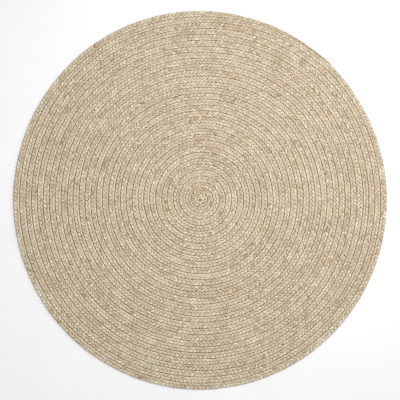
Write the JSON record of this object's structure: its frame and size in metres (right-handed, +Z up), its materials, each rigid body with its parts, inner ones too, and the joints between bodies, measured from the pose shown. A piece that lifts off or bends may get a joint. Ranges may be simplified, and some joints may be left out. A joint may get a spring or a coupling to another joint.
{
  "type": "round braided wool rug",
  "caption": "Flat round rug of one three-strand wool and jute braid, wound in a spiral and sewn edge to edge, in heathered oatmeal.",
  "frame": {"origin": "under the middle of the outline, on the face that lies on the floor", "axes": "+Z up out of the rug's right side, +Y towards the far edge, which is the picture's top, +X to the picture's right"},
  "size_m": [1.4998, 1.5198, 0.012],
  "materials": {
    "wool_braid": "heathered oatmeal wool and jute yarn, braided, matt and slightly hairy"
  },
  "bodies": {
    "root": {"braided_rug": "wool_braid"}
  },
  "joints": []
}
